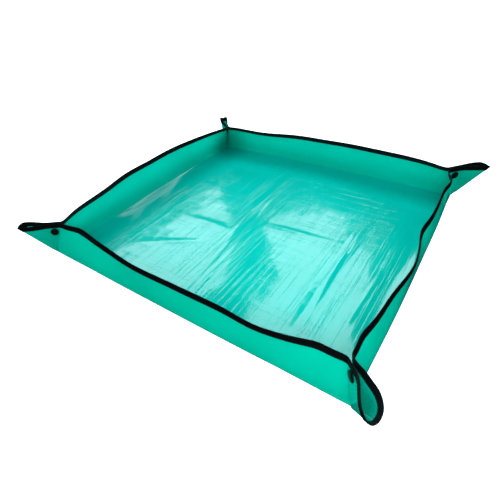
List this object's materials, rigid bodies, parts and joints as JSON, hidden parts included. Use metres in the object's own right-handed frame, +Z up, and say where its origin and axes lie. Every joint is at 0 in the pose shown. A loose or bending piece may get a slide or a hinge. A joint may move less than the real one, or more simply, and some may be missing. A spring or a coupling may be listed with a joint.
{
  "type": "repotting mat",
  "caption": "Square coated mat with a bound edge, pinched by press studs at its corners into a shallow tray that keeps soil together, and laid flat when they are opened.",
  "frame": {"origin": "on the ground, under the middle of the mat's floor", "axes": "+Z up, +X towards the right wall, -Y towards the front wall"},
  "size_m": [0.571, 0.5683, 0.0621],
  "materials": {
    "coated_sheet": "glossy coated cloth",
    "binding_tape": "matte woven tape",
    "press_stud": "moulded, glossy"
  },
  "bodies": {
    "floor": {"floor_panel": "coated_sheet"},
    "right_wall": {"right_wall_panel": "coated_sheet", "right_wall_binding": "binding_tape"},
    "back_wall": {"back_wall_panel": "coated_sheet", "back_wall_binding": "binding_tape"},
    "left_wall": {"left_wall_panel": "coated_sheet", "left_wall_binding": "binding_tape"},
    "front_wall": {"front_wall_panel": "coated_sheet", "front_wall_binding": "binding_tape"},
    "back_right_ear_right": {"back_right_ear_right_flap": "coated_sheet", "back_right_ear_right_binding": "binding_tape", "back_right_stud": "press_stud", "back_right_stud_cap": "press_stud"},
    "back_right_ear_back": {"back_right_ear_back_flap": "coated_sheet", "back_right_ear_back_binding": "binding_tape", "back_right_socket": "press_stud", "back_right_socket_cap": "press_stud"},
    "back_left_ear_back": {"back_left_ear_back_flap": "coated_sheet", "back_left_ear_back_binding": "binding_tape", "back_left_stud": "press_stud", "back_left_stud_cap": "press_stud"},
    "back_left_ear_left": {"back_left_ear_left_flap": "coated_sheet", "back_left_ear_left_binding": "binding_tape", "back_left_socket": "press_stud", "back_left_socket_cap": "press_stud"},
    "front_left_ear_left": {"front_left_ear_left_flap": "coated_sheet", "front_left_ear_left_binding": "binding_tape", "front_left_stud": "press_stud", "front_left_stud_cap": "press_stud"},
    "front_left_ear_front": {"front_left_ear_front_flap": "coated_sheet", "front_left_ear_front_binding": "binding_tape", "front_left_socket": "press_stud", "front_left_socket_cap": "press_stud"},
    "front_right_ear_front": {"front_right_ear_front_flap": "coated_sheet", "front_right_ear_front_binding": "binding_tape", "front_right_stud": "press_stud", "front_right_stud_cap": "press_stud"},
    "front_right_ear_right": {"front_right_ear_right_flap": "coated_sheet", "front_right_ear_right_binding": "binding_tape", "front_right_socket": "press_stud", "front_right_socket_cap": "press_stud"}
  },
  "joints": [
    {"name": "front_wall_fold", "type": "hinge", "parent": "floor", "child": "front_wall", "pos_m": [0, -0.244, 0.00275], "axis": [1, 0, 0], "range_deg": [0, 100.7]},
    {"name": "right_wall_fold", "type": "hinge", "parent": "floor", "child": "right_wall", "pos_m": [0.244, 0, 0.00275], "axis": [0, 1, 0], "range_deg": [0, 101]},
    {"name": "back_wall_fold", "type": "hinge", "parent": "floor", "child": "back_wall", "pos_m": [0, 0.244, 0.00275], "axis": [-1, 0, 0], "range_deg": [0, 101]},
    {"name": "left_wall_fold", "type": "hinge", "parent": "floor", "child": "left_wall", "pos_m": [-0.244, 0, 0.00275], "axis": [0, -1, 0], "range_deg": [0, 101]},
    {"name": "back_right_ear_right_crease", "type": "hinge", "parent": "right_wall", "child": "back_right_ear_right", "pos_m": [0.244, 0.244, 0.00275], "axis": [-0.1813, -0.2425, 0.9531], "range_deg": [0, 44.5]},
    {"name": "front_right_ear_right_crease", "type": "hinge", "parent": "right_wall", "child": "front_right_ear_right", "pos_m": [0.244, -0.244, 0.00275], "axis": [0.1813, -0.2425, -0.9531], "range_deg": [0, 44.5]},
    {"name": "back_left_ear_back_crease", "type": "hinge", "parent": "back_wall", "child": "back_left_ear_back", "pos_m": [-0.244, 0.244, 0.00275], "axis": [0.2425, -0.1813, 0.9531], "range_deg": [0, 44.5]},
    {"name": "back_right_ear_back_crease", "type": "hinge", "parent": "back_wall", "child": "back_right_ear_back", "pos_m": [0.244, 0.244, 0.00275], "axis": [0.2425, 0.1813, -0.9531], "range_deg": [0, 44.5]},
    {"name": "front_left_ear_left_crease", "type": "hinge", "parent": "left_wall", "child": "front_left_ear_left", "pos_m": [-0.244, -0.244, 0.00275], "axis": [0.1813, 0.2425, 0.9531], "range_deg": [0, 44.5]},
    {"name": "back_left_ear_left_crease", "type": "hinge", "parent": "left_wall", "child": "back_left_ear_left", "pos_m": [-0.244, 0.244, 0.00275], "axis": [-0.1813, 0.2425, -0.9531], "range_deg": [0, 44.5]},
    {"name": "front_right_ear_front_crease", "type": "hinge", "parent": "front_wall", "child": "front_right_ear_front", "pos_m": [0.244, -0.244, 0.00275], "axis": [-0.2425, 0.1813, 0.9531], "range_deg": [0, 44.5]},
    {"name": "front_left_ear_front_crease", "type": "hinge", "parent": "front_wall", "child": "front_left_ear_front", "pos_m": [-0.244, -0.244, 0.00275], "axis": [-0.2425, -0.1813, -0.9531], "range_deg": [0, 44.5]}
  ],
  "couplings": [
    {"joint": "right_wall_fold", "follows": "front_wall_fold", "ratio": 1},
    {"joint": "back_wall_fold", "follows": "front_wall_fold", "ratio": 1},
    {"joint": "left_wall_fold", "follows": "front_wall_fold", "ratio": 1},
    {"joint": "back_right_ear_right_crease", "follows": "front_wall_fold", "ratio": 0.4412},
    {"joint": "front_right_ear_right_crease", "follows": "front_wall_fold", "ratio": 0.4412},
    {"joint": "back_left_ear_back_crease", "follows": "front_wall_fold", "ratio": 0.4412},
    {"joint": "back_right_ear_back_crease", "follows": "front_wall_fold", "ratio": 0.4412},
    {"joint": "front_left_ear_left_crease", "follows": "front_wall_fold", "ratio": 0.4412},
    {"joint": "back_left_ear_left_crease", "follows": "front_wall_fold", "ratio": 0.4412},
    {"joint": "front_right_ear_front_crease", "follows": "front_wall_fold", "ratio": 0.4412},
    {"joint": "front_left_ear_front_crease", "follows": "front_wall_fold", "ratio": 0.4412}
  ]
}
